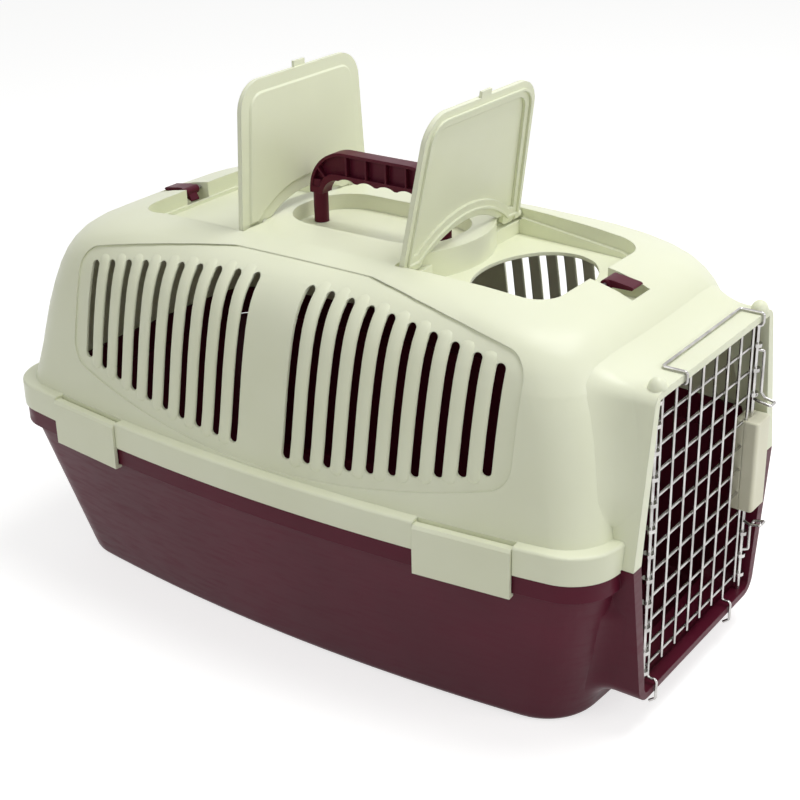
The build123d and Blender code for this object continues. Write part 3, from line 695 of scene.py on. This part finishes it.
class GrowTree(Tree):
    """Geometry node tree that makes repeated pieces from named inputs."""

    def __init__(self, name: str, inputs: dict[str, str]) -> None:
        """Start the tree with its inputs and one geometry output.

        Args:
            name: the tree's name.
            inputs: socket name to its type.
        """
        group = bpy.data.node_groups.new(name, "GeometryNodeTree")
        for label, kind in inputs.items():
            group.interface.new_socket(label, in_out="INPUT", socket_type=kind)
        group.interface.new_socket("Geometry", in_out="OUTPUT", socket_type="NodeSocketGeometry")
        super().__init__(group)
        self.start = self.add("NodeGroupInput").outputs

    def node(self, kind: str, feeds: dict[str, object], **settings: object) -> bpy.types.Node:
        """Add a node and feed its named inputs.

        Args:
            kind: the node's type name.
            feeds: input name to a socket or value.
            settings: properties that are set on it.

        Returns:
            The node.
        """
        made = self.add(kind, **settings)
        for label, value in feeds.items():
            self.feed(made.inputs[label], value)
        return made

    def mark(self, geometry: bpy.types.NodeSocket, label: str, value: object) -> bpy.types.NodeSocket:
        """Store a number on every point.

        Args:
            geometry: the points.
            label: the attribute's name.
            value: the number or socket.

        Returns:
            The geometry with the attribute.
        """
        feeds = {"Geometry": geometry, "Name": label, "Value": value}
        return self.node("GeometryNodeStoreNamedAttribute", feeds).outputs[0]

    def recall(self, label: str) -> bpy.types.NodeSocket:
        """Read a stored number.

        Args:
            label: the attribute's name.

        Returns:
            Its value.
        """
        return self.node("GeometryNodeInputNamedAttribute", {"Name": label}).outputs[0]

    def join(self, *parts: bpy.types.NodeSocket) -> bpy.types.NodeSocket:
        """Join several geometries.

        Args:
            parts: the geometries.

        Returns:
            All of them as one.
        """
        made = self.add("GeometryNodeJoinGeometry")
        for part in parts:
            self.tree.links.new(part, made.inputs[0])
        return made.outputs[0]

    def close(self, geometry: bpy.types.NodeSocket) -> None:
        """Shade smoothly, set the finish and end the tree.

        Args:
            geometry: what the tree gives out.
        """
        whole = self.node("GeometryNodeRealizeInstances", {"Geometry": geometry}).outputs[0]
        smooth = self.node("GeometryNodeSetShadeSmooth", {"Geometry": whole}).outputs[0]
        feeds = {"Geometry": smooth, "Material": self.start["Finish"]}
        dressed = self.node("GeometryNodeSetMaterial", feeds).outputs[0]
        self.feed(self.add("NodeGroupOutput").inputs[0], dressed)

    def grow(self, name: str, values: dict[str, object]) -> bpy.types.Object:
        """Run the tree and keep its result as a plain mesh.

        Args:
            name: the new piece's name.
            values: input name to its value.

        Returns:
            The piece, with no modifier left.
        """
        seed = object_from(f"{name}_seed", bpy.data.meshes.new(f"{name}_seed"))
        modifier = seed.modifiers.new("grow", "NODES")
        modifier.node_group = self.tree
        for item in self.tree.interface.items_tree:
            if item.item_type == "SOCKET" and item.in_out == "INPUT":
                modifier[item.identifier] = values[item.name]
        graph = bpy.context.evaluated_depsgraph_get()
        mesh = bpy.data.meshes.new_from_object(seed.evaluated_get(graph))
        mesh.name = name
        bpy.data.objects.remove(seed)
        return object_from(name, mesh)


def surface_of(piece: bpy.types.Object) -> BVHTree:
    """Search tree of a piece's faces.

    Args:
        piece: the piece.

    Returns:
        The tree, in the row frame.
    """
    mesh = piece.data
    return BVHTree.FromPolygons([v.co for v in mesh.vertices], [tuple(f.vertices) for f in mesh.polygons])


@dataclass
class NeckBlend:
    """Soft hollow curve where the door frame grows out of the rounded body.

    Attributes:
        reach: how far the curve reaches along each of the two surfaces.
        fade: height over which the curve grows from nothing at the outline's two ends.
        least: share of the reach that is left at those ends.
        steps: divisions of the curve.
        side_steps: divisions of the outline's slanted side.
        corner_steps: divisions of its corner.
        level_steps: divisions of half of its level edge.
        ray_start: X from which the body's end is looked for.
        ray_length: how far it is looked for.
        root_gap: distance from the frame's wall to where the two surfaces are taken to meet.
    """

    reach: float = 0.022
    fade: float = 0.03
    least: float = 0.08
    steps: int = 12
    side_steps: int = 24
    corner_steps: int = 8
    level_steps: int = 12
    ray_start: float = 0.284
    ray_length: float = 0.2
    root_gap: float = 0.0004

    def outline(self, half_low: float, low: float, half_high: float, high: float, corner: float) -> Outline:
        """Points round the frame's outline with their outward directions.

        Args:
            half_low: half width where the outline starts.
            low: height where it starts.
            half_high: half width at its corner.
            high: height of its level edge.
            corner: radius of the corner.

        Returns:
            Pairs of point and direction, both as (0, y, z).
        """
        up = 1.0 if high > low else -1.0
        slant = Vector((0, half_high - half_low, high - low)).normalized()
        out = Vector((0, slant.z * up, -slant.y * up))
        turn = math.acos(max(-1.0, min(1.0, out.z * up)))
        side_end = Vector((0, half_high, high)) - slant * corner * math.tan(turn / 2)
        centre = side_end - out * corner
        centre.z = high - up * corner
        start = Vector((0, half_low, low))
        half = [(start.lerp(side_end, n / self.side_steps), out) for n in range(self.side_steps + 1)]
        for n in range(1, self.corner_steps + 1):
            angle = turn * n / self.corner_steps
            aim = (out * math.sin(turn - angle) + Vector((0, 0, up)) * math.sin(angle)) / math.sin(turn)
            half.append((centre + aim * corner, aim.normalized()))
        last = half[-1][0]
        for n in range(1, self.level_steps + 1):
            half.append((Vector((0, last.y * (1 - n / self.level_steps), high)), Vector((0, 0, up))))
        other = [(Vector((0, -p.y, p.z)), Vector((0, -d.y, d.z))) for p, d in reversed(half[:-1])]
        return half + other

    def strip(self, name: str, ground: BVHTree, line: Outline) -> bpy.types.Object:
        """Sweep the hollow curve along the outline.

        Args:
            name: the piece's name.
            ground: the body's surface.
            line: points round the frame with their outward directions.

        Returns:
            The strip.
        """
        rows: list[list[Vector]] = []
        for point, out in line:
            spare = min(1.0, abs(point.z - line[0][0].z) / self.fade)
            reach = self.reach * (self.least + (1 - self.least) * spare * spare * (3 - 2 * spare))
            root = self._hit(ground, point + out * self.root_gap)
            far = self._hit(ground, point + out * reach)
            if root is None or far is None:
                continue
            tip = Vector((root.x + reach, point.y, point.z))
            shares = [n / self.steps for n in range(self.steps + 1)]
            rows.append([far * (1 - t) ** 2 + root * (2 * t * (1 - t)) + tip * t ** 2 for t in shares])
        count = self.steps + 1
        faces = [
            (r * count + n, r * count + n + 1, (r + 1) * count + n + 1, (r + 1) * count + n)
            for r in range(len(rows) - 1)
            for n in range(self.steps)
        ]
        mesh = bpy.data.meshes.new(name)
        mesh.from_pydata([p for row in rows for p in row], [], faces)
        mesh.shade_smooth()
        if mesh.polygons[len(faces) // 4].normal.dot(line[len(rows) // 4][1]) < 0:
            mesh.flip_normals()
        return object_from(name, mesh)

    def _hit(self, ground: BVHTree, place: Vector) -> Vector | None:
        """First point of the body seen from the front at a place of the outline."""
        eye = Vector((self.ray_start, place.y, place.z))
        return ground.ray_cast(eye, Vector((-1, 0, 0)), self.ray_length)[0]


@dataclass
class BottomTub(SubAssembly):
    """The burgundy lower half.

    Attributes:
        joint_half: half width of the door frame at the joint.
        base_half: half width of the frame at its foot.
        joint: height just under the rim band.
        base: height of the frame's foot.
        corner: radius of the frame's lower corners.
        reach: reach of the soft curve.
    """

    joint_half: float = 0.1176
    base_half: float = 0.100
    joint: float = 0.134
    base: float = 0.027
    corner: float = 0.016
    reach: float = 0.016

    def build(self) -> None:
        """Show the tub and the soft curve round its end of the door frame."""
        tub = self.carry("bottom_tub", "carrier", BURGUNDY, 26.0)
        blend = NeckBlend(reach=self.reach)
        line = blend.outline(self.joint_half, self.joint, self.base_half, self.base, self.corner)
        self.settle(blend.strip("tub_neck_blend", surface_of(tub), line), "carrier", BURGUNDY)


@dataclass
class DomedTop(SubAssembly):
    """The cream upper half with its vents.

    Attributes:
        ribs: ribs on each side of the middle pillar.
        first: middle of the first rib.
        pitch: distance between ribs.
        half_width: half of a rib's width.
        depth: height of the rib's round section.
        sink: how far that section starts under the wall's surface.
        floor: height of the slots' lower ends at the middle.
        ceiling: height of their upper ends at the middle.
        floor_curve: rise of the lower ends towards the corners.
        ceiling_curve: fall of the upper ends towards the corners.
        overrun: how far a rib runs past its slots.
        bow: outward bow of the side walls.
        frame_low: height where the soft curve round the door frame starts.
        frame_low_half: half width of the frame there.
        frame_high: height of the frame's top.
        frame_high_half: half width of the frame there.
        frame_corner: radius of its upper corners.
        reach: reach of the soft curve.
    """

    ribs: int = 9
    first: float = 0.0366
    pitch: float = 0.0192
    half_width: float = 0.0060
    depth: float = 0.0026
    sink: float = 0.0010
    floor: float = 0.1875
    ceiling: float = 0.318
    floor_curve: float = 0.69
    ceiling_curve: float = 0.54
    overrun: float = 0.0055
    bow: float = 0.29
    frame_low: float = 0.178
    frame_low_half: float = 0.1168
    frame_high: float = 0.285
    frame_high_half: float = 0.0985
    frame_corner: float = 0.012
    reach: float = 0.026

    def build(self) -> None:
        """Show the shell, its vent ribs and the soft curve round the door frame."""
        shell = self.carry("top_shell", "carrier", CREAM, 26.0)
        self.settle(self.rib_tree().grow("vent_ribs", self._rib_values(shell)), "carrier", CREAM)
        blend = NeckBlend(reach=self.reach)
        line = blend.outline(
            self.frame_low_half, self.frame_low, self.frame_high_half, self.frame_high, self.frame_corner
        )
        self.settle(blend.strip("shell_neck_blend", surface_of(shell), line), "carrier", CREAM)

    def _rib_values(self, shell: bpy.types.Object) -> dict[str, object]:
        """Inputs of the rib tree for this shell."""
        return {
            "Shell": shell, "Finish": self.palette.made[CREAM.name], "Count": self.ribs, "First": self.first,
            "Pitch": self.pitch, "Half Width": self.half_width, "Depth": self.depth, "Sink": self.sink,
            "Floor": self.floor, "Ceiling": self.ceiling, "Floor Curve": self.floor_curve,
            "Ceiling Curve": self.ceiling_curve, "Overrun": self.overrun, "Bow": self.bow,
        }

    @staticmethod
    def rib_tree() -> GrowTree:
        """Tree that lays round ribs on both side walls, between the slots.

        Returns:
            The tree.
        """
        numbers = (
            "First", "Pitch", "Half Width", "Depth", "Sink", "Floor", "Ceiling", "Floor Curve", "Ceiling Curve",
            "Overrun", "Bow",
        )
        outside, search, half_round = 0.3, 0.25, math.radians(104)
        sockets = {"Shell": "NodeSocketObject", "Finish": "NodeSocketMaterial", "Count": "NodeSocketInt"}
        sockets.update({label: "NodeSocketFloat" for label in numbers})
        tree = GrowTree("vent ribs", sockets)
        start = tree.start
        row = tree.node("GeometryNodeMeshLine", {
            "Count": start["Count"], "Start Location": tree.combine(start["First"], 0.0, 0.0),
            "Offset": tree.combine(start["Pitch"], 0.0, 0.0),
        }).outputs[0]
        other = tree.node("GeometryNodeTransform", {"Geometry": row, "Scale": (-1.0, 1.0, 1.0)}).outputs[0]
        places = tree.join(row, other)
        place = tree.add("ShaderNodeSeparateXYZ")
        tree.feed(place.inputs[0], tree.add("GeometryNodeInputPosition").outputs[0])
        places = tree.mark(places, "middle", place.outputs["X"])
        places = tree.join(tree.mark(places, "side", -1.0), tree.mark(places, "side", 1.0))
        patch = tree.node("GeometryNodeMeshGrid", {
            "Size X": 2.0, "Size Y": 1.0, "Vertices X": 13, "Vertices Y": 49,
        }).outputs[0]
        patch = tree.mark(tree.mark(patch, "across", place.outputs["X"]), "along", place.outputs["Y"])
        strips = tree.node("GeometryNodeInstanceOnPoints", {"Points": places, "Instance": patch}).outputs[0]
        strips = tree.node("GeometryNodeRealizeInstances", {"Geometry": strips}).outputs[0]
        middle, side = tree.recall("middle"), tree.recall("side")
        square = tree.math("MULTIPLY", middle, middle)
        low = tree.math("MULTIPLY_ADD", start["Floor Curve"], square, start["Floor"])
        low = tree.math("SUBTRACT", low, start["Overrun"])
        fall = tree.math("MULTIPLY", start["Ceiling Curve"], square)
        high = tree.math("ADD", tree.math("SUBTRACT", start["Ceiling"], fall), start["Overrun"])
        share = tree.math("ADD", tree.recall("along"), 0.5)
        height = tree.math("MULTIPLY_ADD", tree.math("SUBTRACT", high, low), share, low)
        spare = tree.math("MINIMUM", tree.math("SUBTRACT", height, low), tree.math("SUBTRACT", high, height))
        spare = tree.math("MINIMUM", tree.math("DIVIDE", spare, start["Half Width"]), 1.0)
        nearness = tree.math("SUBTRACT", 1.0, spare)
        taper = tree.math("SQRT", tree.math("SUBTRACT", 1.0, tree.math("MULTIPLY", nearness, nearness)))
        angle = tree.math("MULTIPLY", tree.recall("across"), half_round)
        reach = tree.math("MULTIPLY", start["Half Width"], taper)
        offset = tree.math("MULTIPLY", tree.math("SINE", angle), reach)
        rise = tree.math("MULTIPLY", tree.math("MULTIPLY", tree.math("COSINE", angle), start["Depth"]), taper)
        rise = tree.math("SUBTRACT", rise, start["Sink"])
        shell = tree.node("GeometryNodeObjectInfo", {"Object": start["Shell"]}).outputs["Geometry"]
        ray = tree.node("GeometryNodeRaycast", {
            "Target Geometry": shell,
            "Source Position": tree.combine(middle, tree.math("MULTIPLY", side, outside), height),
            "Ray Direction": tree.combine(0.0, tree.math("MULTIPLY", side, -1.0), 0.0),
            "Ray Length": search,
        })
        wall = tree.add("ShaderNodeSeparateXYZ")
        tree.feed(wall.inputs[0], ray.outputs["Hit Position"])
        slope = tree.math("MULTIPLY", start["Bow"], 2.0)
        lean = tree.math("MULTIPLY", tree.math("MULTIPLY", middle, offset), slope)
        across = tree.math("MULTIPLY", side, tree.math("SUBTRACT", rise, lean))
        outward = tree.math("ADD", wall.outputs["Y"], across)
        final = tree.combine(tree.math("ADD", middle, offset), outward, height)
        laid = tree.node("GeometryNodeSetPosition", {"Geometry": strips, "Position": final}).outputs[0]
        far = tree.add("FunctionNodeCompare", operation="GREATER_THAN")
        tree.feed(far.inputs[0], side)
        tree.close(tree.node("GeometryNodeFlipFaces", {"Mesh": laid, "Selection": far.outputs[0]}).outputs[0])
        return tree


@dataclass
class RoofLid(SubAssembly):
    """One roof lid with the lever that holds it shut.

    Attributes:
        end: which end of the roof it covers.
    """

    end: End = End.FRONT

    def build(self) -> None:
        """Show the lid, its lever and the lever's pin."""
        name = self.end.value
        self.carry(f"lid_{name}", f"{name}_lid", CREAM, 28.0)
        self.carry(f"latch_lever_{name}", f"{name}_lever", BURGUNDY, 34.0)
        self.carry(f"latch_pin_{name}", "carrier", STEEL)


@dataclass
class CarryHandle(SubAssembly):
    """The ribbed handle and the collars under the roof."""

    def build(self) -> None:
        """Show the handle and its collars."""
        for node in ("handle", "handle_collar_front", "handle_collar_back"):
            self.carry(node, "carry_handle", BURGUNDY, 32.0)


@dataclass
class SideClips(SubAssembly):
    """The four clips that hold the halves together, with every hinge pin."""

    def build(self) -> None:
        """Show the clips and pins."""
        for place in ("back_near", "front_near", "back_far", "front_far"):
            self.carry(f"clip_{place}", f"clip_{place}_body", CREAM, 28.0)
        for node in ("clip_pins", "lid_hinge_pins"):
            self.carry(node, "carrier", STEEL)


@dataclass
class WireDoor(SubAssembly):
    """The welded wire door.

    Attributes:
        face: X of the upright wires.
        wire: radius of the wire.
        columns: number of upright wires.
        pitch: distance between them.
        rows: number of evenly spaced level wires.
        row_pitch: distance between them.
        middle: height of the door's middle.
        weld: size of a weld against the wire's radius.
    """

    face: float = 0.299
    wire: float = 0.0012
    columns: int = 8
    pitch: float = 0.022
    rows: int = 10
    row_pitch: float = 0.0211
    middle: float = 0.161
    weld: float = 1.25

    def build(self) -> None:
        """Show the grid, its weld marks and the rod that it turns on."""
        self.carry("door_grid", "door", WIRE, 40.0)
        self.settle(self.weld_tree().grow("door_welds", self._weld_values()), "door", WIRE)
        self.carry("door_hinge_rod", "carrier", WIRE, 40.0)

    def _weld_values(self) -> dict[str, object]:
        """Inputs of the weld tree for this door."""
        return {
            "Finish": self.palette.made[WIRE.name], "Columns": self.columns, "Rows": self.rows,
            "Pitch": self.pitch, "Row Pitch": self.row_pitch, "Size": self.wire * self.weld,
            "Face": self.face - self.wire, "Middle": self.middle,
        }

    @staticmethod
    def weld_tree() -> GrowTree:
        """Tree that sets a small flattened weld on every crossing of the wires.

        Returns:
            The tree.
        """
        tree = GrowTree("wire welds", {
            "Finish": "NodeSocketMaterial", "Columns": "NodeSocketInt", "Rows": "NodeSocketInt",
            "Pitch": "NodeSocketFloat", "Row Pitch": "NodeSocketFloat", "Size": "NodeSocketFloat",
            "Face": "NodeSocketFloat", "Middle": "NodeSocketFloat",
        })
        start = tree.start
        width = tree.math("MULTIPLY", start["Pitch"], tree.math("SUBTRACT", start["Columns"], 1.0))
        height = tree.math("MULTIPLY", start["Row Pitch"], tree.math("SUBTRACT", start["Rows"], 1.0))
        grid = tree.node("GeometryNodeMeshGrid", {
            "Size X": height, "Size Y": width, "Vertices X": start["Rows"], "Vertices Y": start["Columns"],
        }).outputs[0]
        stood = tree.node("GeometryNodeTransform", {
            "Geometry": grid, "Translation": tree.combine(start["Face"], 0.0, start["Middle"]),
            "Rotation": (0.0, -math.pi / 2, 0.0),
        }).outputs[0]
        drop = tree.node("GeometryNodeMeshUVSphere", {
            "Segments": 10, "Rings": 6, "Radius": start["Size"],
        }).outputs[0]
        drops = tree.node("GeometryNodeInstanceOnPoints", {
            "Points": stood, "Instance": drop, "Scale": (0.9, 1.0, 1.0),
        }).outputs[0]
        tree.close(drops)
        return tree


@dataclass
class DoorLatch(SubAssembly):
    """The two-part housing with its sliding rods and springs."""

    def build(self) -> None:
        """Show the housing, rods and springs."""
        for node in ("latch_housing_front", "latch_housing_back"):
            self.carry(node, "door", IVORY, 28.0)
        for level in ("upper", "lower"):
            self.carry(f"latch_rod_{level}", f"{level}_rod", WIRE, 40.0)
            self.carry(f"latch_spring_{level}", "door", STEEL, 40.0)


def main() -> None:
    """Build the carrier's sub-assemblies in order, then the studio and the camera."""
    palette = Palette()
    assemblies: tuple[SubAssembly, ...] = (
        BottomTub(palette), DomedTop(palette), RoofLid(palette, End.FRONT), RoofLid(palette, End.BACK),
        CarryHandle(palette), SideClips(palette), WireDoor(palette), DoorLatch(palette),
    )
    for assembly in assemblies:
        assembly.build()
    CamView().build()
    Studio().build()


if __name__ == "__main__":
    main()
